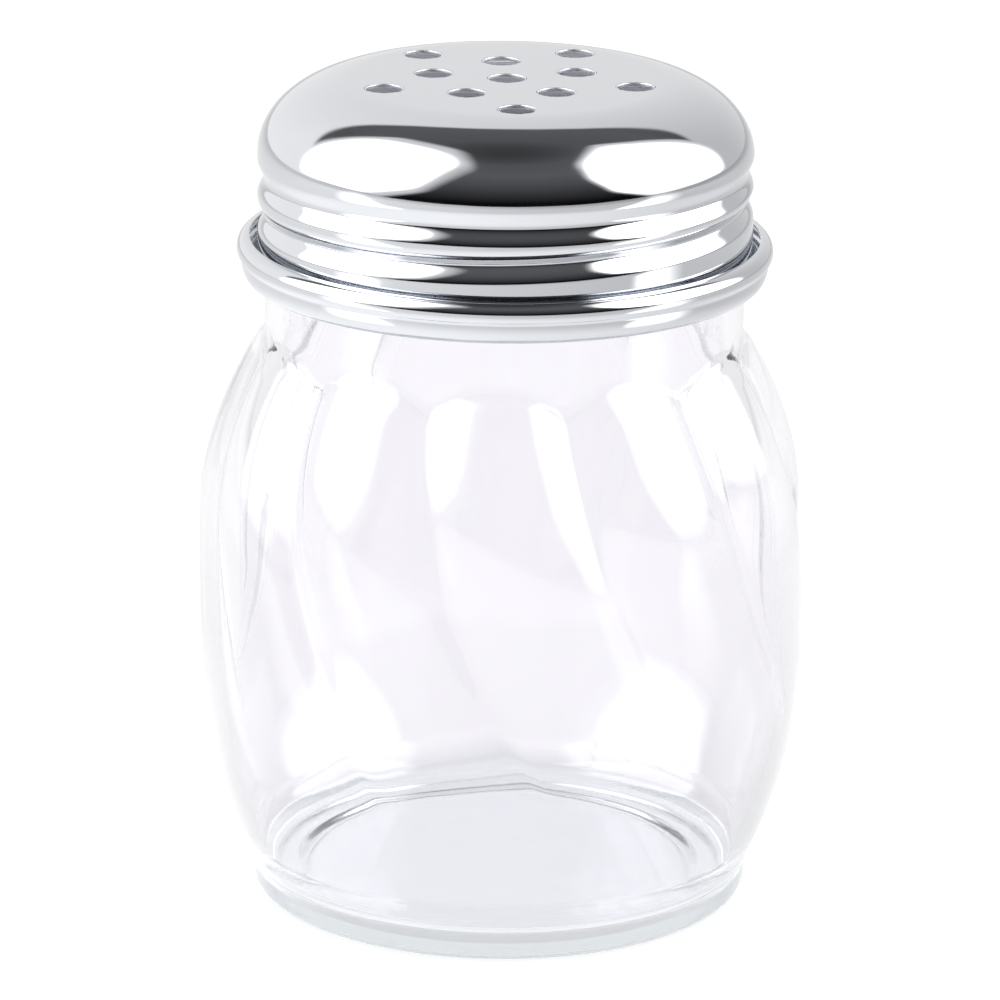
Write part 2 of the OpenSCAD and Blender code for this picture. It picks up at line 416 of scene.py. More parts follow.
# and draws in to the mouth's opening over this height inside the lid
BORE_BLEND_H = 5 * MM


def crest_radius(s, z):
    """Radius over the lobes' crests at height z: a straight belly that draws in by parabolas."""
    down = np.clip((s.heel_h + s.foot_h - z) / s.foot_h, 0, None)
    up = np.clip((z - s.shoulder_z + s.shoulder_h) / s.shoulder_h, 0, None)
    to_foot = (s.belly_r - s.foot_r) * down**2
    to_shoulder = (s.belly_r - s.shoulder_r) * up**2
    return s.belly_r - np.maximum(to_foot, to_shoulder)


def way_down(s, z):
    """Share of the way down from the shoulder to the heel at height z, from 0 to 1."""
    return np.clip((s.shoulder_z - z) / (s.shoulder_z - s.heel_h), 0, 1)


def valley_depth(s, z):
    """Depth of the valleys at height z: full under the shoulder, then fading by a smooth step."""
    return s.lobe_depth * (1 - smooth((way_down(s, z) - s.lobe_full_share) / s.lobe_fade_share))


def swirl_bearing(s, z):
    """Bearing of the swirl's first valley at height z: a power of the way down."""
    return s.swirl_bearing + s.swirl_turn * way_down(s, z) ** s.swirl_power


def lobed_radius(s, across, z):
    """Radius of the body at a place across a lobe (0 on the crest, 1 in a valley) and a height.

    The crest's radius less the depth times the square of the place across, with the valley's
    bottom rounded. A smooth step over the shoulder's rounding takes the body into the neck.
    """
    beside = np.sqrt((1 - np.abs(across)) ** 2 + s.valley_share**2)
    body = crest_radius(s, z) - valley_depth(s, z) * np.clip(1 - beside, 0, None) ** 2
    body = np.maximum(body, s.neck_r)
    end = smooth((z - s.shoulder_z) / s.shoulder_round)
    return body * (1 - end) + s.neck_r * end


def inside_radius(s, across, z):
    """Inside radius of the jar across a lobe and at height z.

    It follows a share of the lobes' relief with valleys twice as soft, one wall behind them.
    Above the shoulder it runs up the neck and draws in to the mouth's bore inside the lid.
    """
    crest = crest_radius(s, np.minimum(z, s.shoulder_z))
    depth = valley_depth(s, z) * smooth((z - s.floor_t - s.floor_round) / INNER_FADE_H)
    beside = np.sqrt((1 - np.abs(across)) ** 2 + (2 * s.valley_share) ** 2)
    relief = depth * s.inner_share * np.clip(1 - beside, 0, None) ** 2
    body = np.maximum(crest - (1 - s.inner_share) * depth - relief, s.neck_r) - s.wall
    into_neck = smooth((z - s.shoulder_z + NECK_BLEND_BELOW) / NECK_BLEND_H)
    into_bore = smooth((z - LID_LOW.z) / BORE_BLEND_H)
    r = body * (1 - into_neck) + (s.neck_r - s.wall) * into_neck
    return r * (1 - into_bore) + s.bore_r * into_bore


def ridge_height(s, lid):
    """Height of the jar's ridge: what the lid's groove leaves, less a running gap."""
    return lid.skirt_r - lid.sheet_t - lid.groove_depth - RIDGE_GAP - s.finish_r


def ridge_share(lid, bearing, z):
    """How much of the jar's ridge stands at a bearing and height, from 0 to 1.

    A rounded rib along a helix, half a pitch under the lid's groove, faded in and out at its ends.
    """
    start = lid.thread_z - lid.thread_pitch / 2
    share = np.zeros(len(bearing))
    for turn in range(2):
        angle = np.mod(bearing - lid.thread_bearing, math.tau) + turn * math.tau
        part = angle / (RIDGE_TURNS * math.tau)
        ends = smooth(part / RIDGE_END_SHARE) * smooth((1 - part) / RIDGE_END_SHARE)
        off = np.abs(z - start - lid.thread_pitch * angle / math.tau) / RIDGE_HALF_W
        share = np.maximum(share, ends * smooth(1 - off))
    return share


def jar_rings(s, lid):
    """Rings of the whole jar's surface: the sole, up the outside, over the lip, down the inside.

    Each ring is one height of one profile; on the body its radius varies with the bearing in
    lobes, and every ring is turned with the swirl, so that the valleys run along the mesh.
    Small gaps between the stretches keep their end rings apart.
    """
    around = s.lobes * AROUND_LOBE
    across = 2 * (np.arange(around) % AROUND_LOBE) / AROUND_LOBE - 1
    step = math.tau / around * np.arange(around)
    top = JAR_HIGH.z
    neck_z = s.shoulder_z + s.shoulder_round
    neck_top = LID_LOW.z + NECK_HIDDEN_H
    floor_top = s.floor_t + s.floor_round
    rings = []

    def turned(profile, lead_z):
        """Adds round rings, turned as the swirl is at one height."""
        rings.extend(ring(r, swirl_bearing(s, lead_z) + step, z) for r, z in profile)

    # the push-up, the flat ring that the jar stands on, and the heel's rounded edge
    sole_r = s.heel_r - s.heel_round
    push_r = sole_r - s.foot_ring
    share = np.concatenate([
        np.linspace(0.02, PUSH_UP_FLAT - 0.02, 8), np.linspace(PUSH_UP_FLAT, 1, 12),
    ])
    push_z = FOOT_GAP + s.push_up * (1 - smooth((share - PUSH_UP_FLAT) / (1 - PUSH_UP_FLAT)))
    turned(np.stack([push_r * share, push_z], -1), s.heel_h)
    turned(line((push_r + 0.6 * MM, FOOT_GAP), (sole_r, FOOT_GAP), 4), s.heel_h)
    heel = (s.heel_round, s.heel_round)
    turned(arc((sole_r, s.heel_round + FOOT_GAP), heel, -90, 0, 8), s.heel_h)

    # the plain heel, the lobed body and the bend into the neck
    heights = np.concatenate([
        np.linspace(s.heel_round + 0.4 * MM, s.heel_h - 0.2 * MM, 5),
        np.linspace(s.heel_h, s.shoulder_z - 0.5 * MM, BODY_LEVELS),
        np.linspace(s.shoulder_z, neck_z, 9),
    ])
    for z in heights:
        lobed = smooth((z - s.heel_h + HEEL_SEAM_BELOW) / HEEL_SEAM_H)
        r = s.heel_r * (1 - lobed) + lobed_radius(s, across, z) * lobed
        rings.append(ring(r, swirl_bearing(s, z) + step, z))

    # the neck, the mouth with its ridge, and the lip
    turned(line((s.neck_r, neck_z + 0.5 * MM), (s.neck_r, neck_top), 8), s.shoulder_z)
    mouth_z = neck_top + NECK_STEP_H
    turned(line((s.neck_r, neck_top), (s.finish_r, mouth_z), 4), s.shoulder_z)
    bearing = swirl_bearing(s, s.shoulder_z) + step
    for z in np.linspace(mouth_z + 0.1 * MM, top - s.lip_round - 0.1 * MM, 44):
        r = s.finish_r + ridge_height(s, lid) * ridge_share(lid, bearing, z)
        rings.append(ring(r, bearing, z))
    lip = (s.lip_round, s.lip_round)
    turned(arc((s.finish_r - s.lip_round, top - s.lip_round), lip, 0, 90, 8), s.shoulder_z)
    turned(arc((s.bore_r + s.lip_round, top - s.lip_round), lip, 90, 180, 8)[1:], s.shoulder_z)

    # the inside, down to the floor's rounding
    for z in np.linspace(top - 2 * MM, floor_top + 0.5 * MM, 80):
        rings.append(ring(inside_radius(s, across, z), swirl_bearing(s, z) + step, z))

    # the wall's foot runs into the floor along a parabola, and the lobes fade towards the middle
    edge_r = inside_radius(s, across, floor_top)
    for share in np.linspace(0, 1, 24):
        z = s.floor_t + s.floor_round * (1 - share) ** 2
        rings.append(ring(edge_r - s.floor_round * share**2, swirl_bearing(s, z) + step, z))
    rim = edge_r - s.floor_round
    bearing = swirl_bearing(s, s.floor_t) + step
    for share in np.linspace(0.94, 0.04, 10):
        r = rim * share * share + rim.mean() * share * (1 - share)
        rings.append(ring(r, bearing, s.floor_t))
    return np.array(rings)


AROUND_LID = 330
HOLE_POINTS = 48
# rings down the dome and the skirt, which are the lid's chromed outside above the curl
DOME_RINGS = 40
SKIRT_RINGS = 112
# the rolled thread: half its width, the turns over which it keeps its pitch, and how flat it
# runs from there; the turns that its ends fade over; where the lower turn becomes the upper one
GROOVE_HALF_W = 2.2 * MM
STEEP_TURNS = 1.4
FLAT_RISE_SHARE = 0.25
GROOVE_TURNS = 1.92
GROOVE_START_TURNS = 0.14
GROOVE_END_TURNS = 0.3
UPPER_FROM_TURNS = 0.75
UPPER_OVER_TURNS = 0.4
# how round the groove's bottom is, as a share of half its width, and how much more and how
# much shallower the upper turn is
GROOVE_SOFT_SHARE = 0.09
UPPER_SOFT_SHARE = 0.25
UPPER_SHALLOW_SHARE = 0.2
# radius of the curl's upper bead, and height of the plain band under it
BEAD_ROUND = 1.45 * MM
BAND_H = 2.4 * MM
# the rounding of the punched holes' upper edge, how much of it their lower edge has, and the
# flat collar's width round both
HOLE_ROUND = 0.1 * MM
HOLE_LOWER_SHARE = 0.8
HOLE_MARGIN = 0.08 * MM


def groove_depth(s, bearing, z):
    """Depth of the lid's rolled thread at a bearing and height.

    Two turns of one helix: depth (1 - sin(pi t / 2)) with t the distance from the groove's
    middle over half its width. The lower turn is a sharp V, the upper one a soft hollow.
    """
    depth = np.zeros(np.broadcast(bearing, z).shape)
    for turn in range(2):
        turns = np.mod(bearing - s.thread_bearing, math.tau) / math.tau + turn
        flatter = FLAT_RISE_SHARE * np.clip(turns - STEEP_TURNS, 0, None)
        rise = np.minimum(turns, STEEP_TURNS) + flatter
        start = smooth(turns / GROOVE_START_TURNS)
        ends = start * smooth((GROOVE_TURNS - turns) / GROOVE_END_TURNS)
        upper = smooth((turns - UPPER_FROM_TURNS) / UPPER_OVER_TURNS)
        soft = GROOVE_SOFT_SHARE + UPPER_SOFT_SHARE * upper
        off = np.abs(z - s.thread_z - s.thread_pitch * rise) / GROOVE_HALF_W
        t = np.clip((np.hypot(off, soft) - soft) / (np.hypot(1, soft) - soft), 0, 1)
        full = s.groove_depth * (1 - UPPER_SHALLOW_SHARE * upper) * ends
        depth = np.maximum(depth, full * (1 - np.sin(np.pi / 2 * t)))
    return depth


def lid_rings(s):
    """Rings of the lid's sheet: from the top down the outside, round the curl, up the inside."""
    top = LID_HIGH.z
    low = LID_LOW.z
    t = s.sheet_t
    dome = (s.top_r, top - s.dome_h)
    dome_w = s.skirt_r - s.top_r
    inner_r = s.skirt_r - t
    bead = (s.bead_r - BEAD_ROUND, low + s.curl_h - s.bead_h / 2 - 0.1 * MM)
    bead_z = bead[1]
    foot_c = (inner_r + s.foot_bead_r) / 2
    foot_w = (s.foot_bead_r - inner_r) / 2
    foot_z = low + s.bead_h / 2
    # each stretch of the profile, and whether the rolled thread runs over it
    stretches = [
        (arc(dome, (dome_w, s.dome_h), 90, 0, DOME_RINGS), True),
        (upright(s.skirt_r, dome[1] - 0.05 * MM, bead_z + 0.05 * MM, SKIRT_RINGS), True),
        (arc(bead, (bead[0] - s.skirt_r, BEAD_ROUND - t), 180, 450, 20), False),
        (arc(bead, (BEAD_ROUND, BEAD_ROUND), 92, -36, 24), False),
        (arc((foot_c, low + BAND_H), (foot_w, BAND_H), 0, -90, 20), False),
        (arc((foot_c, foot_z), (foot_w, s.bead_h / 2), -95, -180, 10), False),
        (line((inner_r, foot_z + 0.3 * MM), (inner_r, bead_z), 4), True),
        (upright(inner_r, bead_z, dome[1], 34), True),
        (arc(dome, (dome_w - t, s.dome_h - t), 3, 90, 14), True),
    ]
    bearing = math.tau * np.arange(AROUND_LID) / AROUND_LID
    rings = []
    for profile, grooved in stretches:
        for r, z in profile:
            cut = groove_depth(s, bearing, z) if grooved and r > s.top_r + 4 * MM else 0
            rings.append(ring(r - cut, bearing, z))
    return np.array(rings)


def hole_middles(s):
    """Middles of the holes: the middle one, the inner ring, and the outer ring half a step off."""
    found = []
    for count, radius, offset in ((5, s.inner_ring_r, 0.5), (5, s.outer_ring_r, 0)):
        for k in range(count):
            bearing = s.holes_bearing + math.tau * (k + offset) / count
            found.append((radius * math.cos(bearing), radius * math.sin(bearing)))
    return [(0.0, 0.0), *found]


def plate_faces(edge, loops, hole_r, middles, upward):
    """Triangles of a flat plate between its edge and the holes, from a Delaunay mesh in mm.

    The triangles are turned to face up or down.
    """
    points = np.concatenate([edge, *loops])
    joins = []
    start = 0
    for loop in [edge, *loops]:
        n = len(loop)
        joins += [(start + i, start + (i + 1) % n) for i in range(n)]
        start += n
    flat = [tuple(p) for p in points[:, :2] / MM]
    found, _, faces, sources, _, _ = delaunay_2d_cdt(flat, joins, [], 1, 1e-5, True)
    names = np.array([source[0] for source in sources])
    places = np.array([tuple(p) for p in found])
    kept = []
    for face in faces:
        middle = places[list(face)].mean(0) * MM
        if all(np.hypot(middle[0] - x, middle[1] - y) > hole_r for x, y in middles):
            kept.append(names[list(face)])
    kept = np.array(kept)
    corner = points[kept]
    side = np.cross(corner[:, 1] - corner[:, 0], corner[:, 2] - corner[:, 0])[:, 2]
    flip = (side < 0) if upward else (side > 0)
    kept[flip] = kept[flip][:, ::-1]
    return kept


def make_lid(s, material):
    """The lid's mesh: lathed sheet, two plates with holes, and each hole's rounded edge."""
    rings = lid_rings(s)
    levels, around, _ = rings.shape
    lathed, i, _ = strips(rings)
    points = [rings.reshape(-1, 3)]
    # the lid's rings start with the outside's top, so its quads are turned round
    quads = [lathed[:, [0, 3, 2, 1]]]
    total = levels * around
    middles = hole_middles(s)
    top = LID_HIGH.z
    under = top - s.sheet_t
    upper = HOLE_ROUND
    lower = HOLE_ROUND * HOLE_LOWER_SHARE
    edge_r = s.hole_d / 2 + HOLE_ROUND
    profile = np.concatenate([
        [(edge_r + HOLE_MARGIN, top)],
        arc((edge_r, top - upper), (upper, upper), 90, 180, 6),
        arc((s.hole_d / 2 + lower, under + lower), (lower, lower), 180, 270, 4),
        [(edge_r + HOLE_MARGIN, under)],
    ])
    turn = math.tau * np.arange(HOLE_POINTS) / HOLE_POINTS
    a = np.arange(HOLE_POINTS)
    shape = np.array([ring(r, turn, z) for r, z in profile])
    collar = strips(shape)[0]
    starts = []
    for x, y in middles:
        starts.append(total)
        points.append((shape + (x, y, 0)).reshape(-1, 3))
        quads.append(total + collar)
        total += len(points[-1])
    points = np.concatenate(points)
    last = (len(profile) - 1) * HOLE_POINTS
    plates = []
    for ring_start, shift, upward in ((0, 0, True), ((levels - 1) * around, last, False)):
        loops = [start + shift + a for start in starts]
        names = np.concatenate([ring_start + i, *loops])
        holes = [points[loop] for loop in loops]
        plates.append(names[plate_faces(points[ring_start + i], holes, edge_r, middles, upward)])
    quads, triangles = np.concatenate(quads), np.concatenate(plates)
    piece = put_mesh("lid_sheet", points, quads, triangles, material)
    # 1 on the sheet's inside and in the holes, 0 on its chromed outside
    bearing = np.arctan2(points[:, 1], points[:, 0])
    inner_r = s.skirt_r - s.sheet_t - groove_depth(s, bearing, points[:, 2])
    within = np.hypot(points[:, 0], points[:, 1]) < inner_r + 0.1 * MM
    outside = np.arange(len(points)) < (DOME_RINGS + SKIRT_RINGS) * around
    inside = within & ~outside & (points[:, 2] < top - 0.02 * MM)
    layer = piece.data.attributes.new("inside", "FLOAT", "POINT")
    layer.data.foreach_set("value", inside.astype(np.float32))
    return piece


# settings that many nodes share
SOFT = {"interpolation_type": "SMOOTHSTEP"}
PRODUCT = {"operation": "MULTIPLY"}
LARGER = {"operation": "MAXIMUM"}
# light that has met more surfaces than this counts as mixed: it leaves the glass straight and
# meets one even tone of the studio or the paper, so that no long path ends in a thin dark line
MIXED_DEPTH = 10
MIXED_STUDIO = (1.2, 1.2, 1.22, 1)
MIXED_PAPER = 0.2


def empty_tree(owner):
    """The node tree of a material or the world, with nothing in it yet."""
    owner.use_nodes = True
    owner.node_tree.nodes.clear()
    return owner.node_tree


# roughness of the stippled foot, and the heights that it fades between
STIPPLE_ROUGH = 0.12
STIPPLE_LOW, STIPPLE_HIGH = 0.8 * MM, 5.5 * MM
# the heights between which the foot's darker glass, which also paints shade, becomes the body's
THICK_LOW, THICK_HIGH = 2 * MM, 7 * MM
# what is left of the light that passes straight through one surface
PASSED_LIGHT = "#EDEFEF"


def glass_material(s):
    """Clear moulded soda-lime glass.

    Mirrors and bends light as glass does, with the faintly uneven skin of a pressed jar.
    Shadow and diffuse rays pass straight through with a small loss, for a light shadow.
    """
    made = bpy.data.materials.new("clear_soda_lime_glass")
    tree = empty_tree(made)
    place = node(tree, "TexCoord").outputs["Object"]
    # waves a few millimetres long that bend the reflections a little, as on moulded glass
    waves = node(tree, "TexNoise", {"Vector": place, "Scale": 1 / (9 * MM), "Detail": 1.0})
    bump = node(tree, "Bump", {"Height": waves, "Strength": 0.25, "Distance": 0.12 * MM})
    # the mould's foot is finely stippled, which blurs what is seen through it
    height = node(tree, "SeparateXYZ", {0: place}).outputs["Z"]
    stipple = node(tree, "MapRange", {
        0: height, 1: STIPPLE_LOW, 2: STIPPLE_HIGH, 3: STIPPLE_ROUGH, 4: 0.0,
    }, **SOFT)
    # the foot's darker tone: thick glass takes more light, and partly painted shade of its shadow
    thick = node(tree, "MapRange", {
        0: height, 1: THICK_LOW, 2: THICK_HIGH, 3: 1.0, 4: 0.0,
    }, **SOFT)
    tone = node(tree, "MixRGB", {0: thick, 1: linear(s.glass), 2: linear(s.foot_glass_and_shade)})
    glass = node(tree, "BsdfPrincipled", {
        "Base Color": tone, "Roughness": stipple, "Normal": bump, "IOR": 1.5,
        "Transmission Weight": 1.0,
    })
    clear = node(tree, "BsdfTransparent", {"Color": linear(PASSED_LIGHT)})
    path = node(tree, "LightPath").outputs
    matte = node(tree, "Math", {0: path["Is Shadow Ray"], 1: path["Is Diffuse Ray"]}, **LARGER)
    mixed = node(tree, "Math", {0: path["Ray Depth"], 1: MIXED_DEPTH}, operation="GREATER_THAN")
    straight = node(tree, "Math", {0: matte, 1: mixed}, **LARGER)
    surface = node(tree, "MixShader", {0: straight, 1: glass, 2: clear})
    node(tree, "OutputMaterial", {"Surface": surface})
    return made


# roughness of the chrome where it is clearest and dullest, and of the bare inside, as a grey
CLEAR_ROUGH, DULL_ROUGH = 0.035, 0.075
BARE_ROUGH = (0.5, 0.5, 0.5, 1)


def chrome_material(s):
    """Bright chrome plate on drawn sheet.

    A clear mirror, a little blurred and uneven where the sheet was drawn and polished.
    """
    made = bpy.data.materials.new("bright_chrome_plate")
    tree = empty_tree(made)
    place = node(tree, "TexCoord").outputs["Object"]
    # broad unevenness of the polish, which blurs some places a little more than others
    cloud = node(tree, "TexNoise", {"Vector": place, "Scale": 1 / (7 * MM), "Detail": 3.0})
    polish = node(tree, "MapRange", {0: cloud, 1: 0.3, 2: 0.7, 3: CLEAR_ROUGH, 4: DULL_ROUGH})
    # slow waves in the drawn sheet, which make the edges of the reflections wander
    waves = node(tree, "TexNoise", {"Vector": place, "Scale": 1 / (5 * MM), "Detail": 1.0})
    bump = node(tree, "Bump", {"Height": waves, "Strength": 0.2, "Distance": 0.05 * MM})
    # the sheet's bare inside and the holes' edges are dull, with no clear reflection
    inside = node(tree, "Attribute", attribute_name="inside").outputs["Fac"]
    tone = node(tree, "MixRGB", {0: inside, 1: linear(s.chrome), 2: linear(s.bare)})
    rough = node(tree, "MixRGB", {0: inside, 1: polish, 2: BARE_ROUGH})
    chrome = node(tree, "BsdfPrincipled", {
        "Base Color": tone, "Metallic": 1.0, "Roughness": rough, "Normal": bump,
    })
    node(tree, "OutputMaterial", {"Surface": chrome})
    return made


# Softboxes, as corners of a convex outline. A row is a corner's direction (x, y, z), half the
# softness of the side that starts there, and how far in from that side the bright core begins,
# both as sines.
LEFT_BOX = [
    (-0.92, 0.36, 0.0, 0.02, 0.0), (-0.85, -0.53, 0.0, 0.05, 0.12),
    (-0.61, -0.75, 0.27, 0.1, 0.16), (-0.42, -0.7, 0.57, 0.12, 0.2),
    (-0.17, -0.39, 0.9, 0.06, 0.1), (-0.19, 0.08, 0.98, 0.04, 0.1),
    (-0.34, 0.37, 0.86, 0.03, 0.05),
]
RIGHT_BOX = [
    (0.93, -0.36, 0.0, 0.02, 0.0), (0.84, 0.53, 0.0, 0.03, 0.05),
    (0.53, 0.44, 0.73, 0.03, 0.05), (0.31, 0.25, 0.92, 0.04, 0.05),
    (0.37, -0.26, 0.89, 0.05, 0.05), (0.53, -0.56, 0.64, 0.05, 0.04),
    (0.74, -0.62, 0.27, 0.04, 0.02),
]
# radiance of a softbox at its margin and in its core, and how softly one becomes the other
BOX_MARGIN = 0.9
BOX_CORE = 4.5
BOX_FADE = 0.12


def softbox(tree, way, corners):
    """Radiance of a softbox on the world: a convex outline through corner directions.

    A ray is inside a side by its direction's dot product with the side's unit normal. The
    products of smooth steps over all sides give the outline and the core. Between the two
    the cloth is dimmer.
    """
    outline = core = 1.0
    for first, second in zip(corners, corners[1:] + corners[:1]):
        soft, margin = first[3:]
        across = np.cross(first[:3], second[:3])
        across = across / np.linalg.norm(across)
        inside = node(tree, "VectorMath", {
            0: way, 1: tuple(across),
        }, operation="DOT_PRODUCT").outputs["Value"]
        edge = node(tree, "MapRange", {0: inside, 1: -soft, 2: soft}, **SOFT)
        outline = node(tree, "Math", {0: outline, 1: edge}, **PRODUCT)
        start = margin - soft
        bright = node(tree, "MapRange", {0: inside, 1: start, 2: start + BOX_FADE}, **SOFT)
        core = node(tree, "Math", {0: core, 1: bright}, **PRODUCT)
    level = node(tree, "MapRange", {0: core, 3: BOX_MARGIN, 4: BOX_CORE})
    return node(tree, "Math", {0: outline, 1: level}, **PRODUCT)


# brightness of the paper's fibres as a matte thing
PAPER_DARK, PAPER_LIGHT = 0.79, 0.81
# The paper's own painted light. Distances are from the axis in metres, and a side is the
# paper's direction from the axis as a sine. Mirrored, a painted pool of light: near the jar
# and far from it, with more on the left (-X) and less on the right.
MIRROR_NEAR_R, MIRROR_FAR_R = 0.06, 0.22
MIRROR_NEAR, MIRROR_FAR = 0.66, 0.26
MIRROR_LEFT, MIRROR_RIGHT = 0.12, -0.2
# the painted reflection of the softboxes: its share of their light, and the height on the axis
# that it is seen from; it is whole up to one side in front (-Y) and gone at the other, and grows
# with the distance
PAINTED_SHEEN = 0.45
PAINTED_SHEEN_HEIGHT = 50 * MM
PAINTED_SHEEN_WHOLE_Y, PAINTED_SHEEN_END_Y = -0.45, 0.0
PAINTED_SHEEN_NEAR_R, PAINTED_SHEEN_FAR_R = 0.09, 0.17
# painted light seen through the glass: in front and behind, and at the flanks, close by and
# farther away
FAN_LIGHT = 0.305
FAN_X, FLANK_X = 0.15, 0.6
FLANK_NEAR, FLANK_FAR = 0.2, 0.3
FLANK_NEAR_R, FLANK_FAR_R = 0.1, 0.25
# a painted pool of light under the jar's foot, whose thick glass gathers light
FOOT_LIGHT = 0.73
FOOT_WHOLE_R, FOOT_END_R = 0.024, 0.042
# to the camera, which makes the paper white
CAMERA_LIGHT = 0.5


def sweep_material(s):
    """Matte white paper sweep, with painted light in its glow.

    Takes a faint soft shadow and looks white to the camera. Mirrored, it glows with painted
    light, brightest near the jar, which gives the lid's rim its white line, and with a painted
    reflection of the softboxes, which the glass's lower half shows. Through the glass it glows
    plainly, with a painted pool of light under the foot.
    """
    made = bpy.data.materials.new("white_paper_sweep")
    made.cycles.emission_sampling = "NONE"
    tree = empty_tree(made)
    place = node(tree, "TexCoord").outputs["Object"]
    # fibres of the paper, too fine to see on their own
    fibre = node(tree, "TexNoise", {"Vector": place, "Scale": 1 / (1.5 * MM), "Detail": 2.0})
    tone = node(tree, "MapRange", {0: fibre, 3: PAPER_DARK, 4: PAPER_LIGHT})
    paper = node(tree, "BsdfDiffuse", {"Color": tone})
    reach = node(tree, "VectorMath", {0: place}, operation="LENGTH").outputs["Value"]
    bearing = node(tree, "VectorMath", {0: place}, operation="NORMALIZE")
    side = node(tree, "SeparateXYZ", {0: bearing}).outputs
    # painted light: mirrored, the paper is brightest at the jar, and brighter on the left
    near = node(tree, "MapRange", {
        0: reach, 1: MIRROR_NEAR_R, 2: MIRROR_FAR_R, 3: MIRROR_NEAR, 4: MIRROR_FAR,
    }, **SOFT)
    lean = node(tree, "MapRange", {0: side["X"], 1: -1.0, 2: 1.0, 3: MIRROR_LEFT, 4: MIRROR_RIGHT})
    painted_shine = node(tree, "Math", {0: near, 1: lean}, operation="ADD", use_clamp=True)
    # painted reflection of the softboxes on the paper, as they are seen from the middle of the jar
    raised = node(tree, "VectorMath", {0: place, 1: (0, 0, PAINTED_SHEEN_HEIGHT)}, operation="ADD")
    way = node(tree, "VectorMath", {0: raised}, operation="NORMALIZE")
    boxes = node(tree, "Math", {
        0: softbox(tree, way, LEFT_BOX), 1: softbox(tree, way, RIGHT_BOX),
    }, **LARGER)
    share = node(tree, "Math", {0: boxes, 1: PAINTED_SHEEN}, **PRODUCT)
    # it shows only on the stage's front and some way from the jar
    ahead = node(tree, "MapRange", {
        0: side["Y"], 1: PAINTED_SHEEN_WHOLE_Y, 2: PAINTED_SHEEN_END_Y, 3: 1.0, 4: 0.0,
    }, **SOFT)
    away = node(tree, "MapRange", {0: reach, 1: PAINTED_SHEEN_NEAR_R, 2: PAINTED_SHEEN_FAR_R}, **SOFT)
    shown = node(tree, "Math", {0: ahead, 1: away}, **PRODUCT)
    painted_sheen = node(tree, "Math", {0: share, 1: shown}, **PRODUCT)
    mirror = node(tree, "Math", {0: painted_shine, 1: painted_sheen}, **LARGER)
    # rays through the glass count as glossy too, so the mirrored ones are what is left
    path = node(tree, "LightPath").outputs
    through = path["Is Transmission Ray"]
    bounced = node(tree, "Math", {0: path["Is Glossy Ray"], 1: through}, operation="SUBTRACT")
    mirrored = node(tree, "Math", {0: bounced, 1: mirror}, **PRODUCT)
    # painted light: through the glass, the paper is brightest under the foot, and dimmer at the
    # near flanks
    aside = node(tree, "Math", {0: side["X"]}, operation="ABSOLUTE")
    flank = node(tree, "MapRange", {
        0: reach, 1: FLANK_NEAR_R, 2: FLANK_FAR_R, 3: FLANK_NEAR, 4: FLANK_FAR,
    }, **SOFT)
    fan = node(tree, "MapRange", {0: aside, 1: FAN_X, 2: FLANK_X, 3: FAN_LIGHT, 4: flank}, **SOFT)
    painted_foot_pool = node(tree, "MapRange", {
        0: reach, 1: FOOT_WHOLE_R, 2: FOOT_END_R, 3: FOOT_LIGHT, 4: 0.0,
    }, **SOFT)
    seen = node(tree, "Math", {0: fan, 1: painted_foot_pool}, **LARGER)
    behind = node(tree, "Math", {0: through, 1: seen}, **PRODUCT)
    plain = node(tree, "Math", {
        0: path["Is Camera Ray"], 1: CAMERA_LIGHT, 2: behind,
    }, operation="MULTIPLY_ADD")
    first = node(tree, "Math", {0: mirrored, 1: plain}, **LARGER)
    # mixed light finds the paper's painted light darker, but for the painted pool under the foot
    mixed = node(tree, "Math", {0: path["Ray Depth"], 1: MIXED_DEPTH}, operation="GREATER_THAN")
    dim = node(tree, "Math", {0: painted_foot_pool, 1: MIXED_PAPER}, **LARGER)
    strength = node(tree, "MixRGB", {0: mixed, 1: first, 2: dim})
    # the paper's glow: white to the camera, painted light to mirrored rays and through the glass
    painted_glow = node(tree, "Emission", {"Color": linear(s.paper), "Strength": strength})
    both = node(tree, "AddShader", {0: paper, 1: painted_glow})
    node(tree, "OutputMaterial", {"Surface": both})
    return made


# the dark room's brightness at heights from level (0) to overhead (1), and how blue its grey is
ROOM_STOPS = [(0.0, 0.003), (0.1, 0.006), (0.4, 0.055), (0.8, 0.14), (0.94, 0.12), (1.0, 0.06)]
ROOM_BLUE = 1.04
# edges of the white backdrop behind the jar: its top as height over depth, its side as depth
BACKDROP_WHOLE_TOP, BACKDROP_TOP = 1.1, 1.25
BACKDROP_SIDE, BACKDROP_WHOLE_SIDE = 0.02, 0.08
# its light at the left and the right of this width, and as the glass shows it
WALL_X = 0.7
WALL_LEFT, WALL_RIGHT = 1.2, 0.72
WALL_THROUGH = (0.85, 0.85, 0.86, 1)
# the least light that the glass shows, and the even light on matte things
LEAST_THROUGH = 0.5
EVEN_LIGHT = (0.55, 0.55, 0.55, 1)


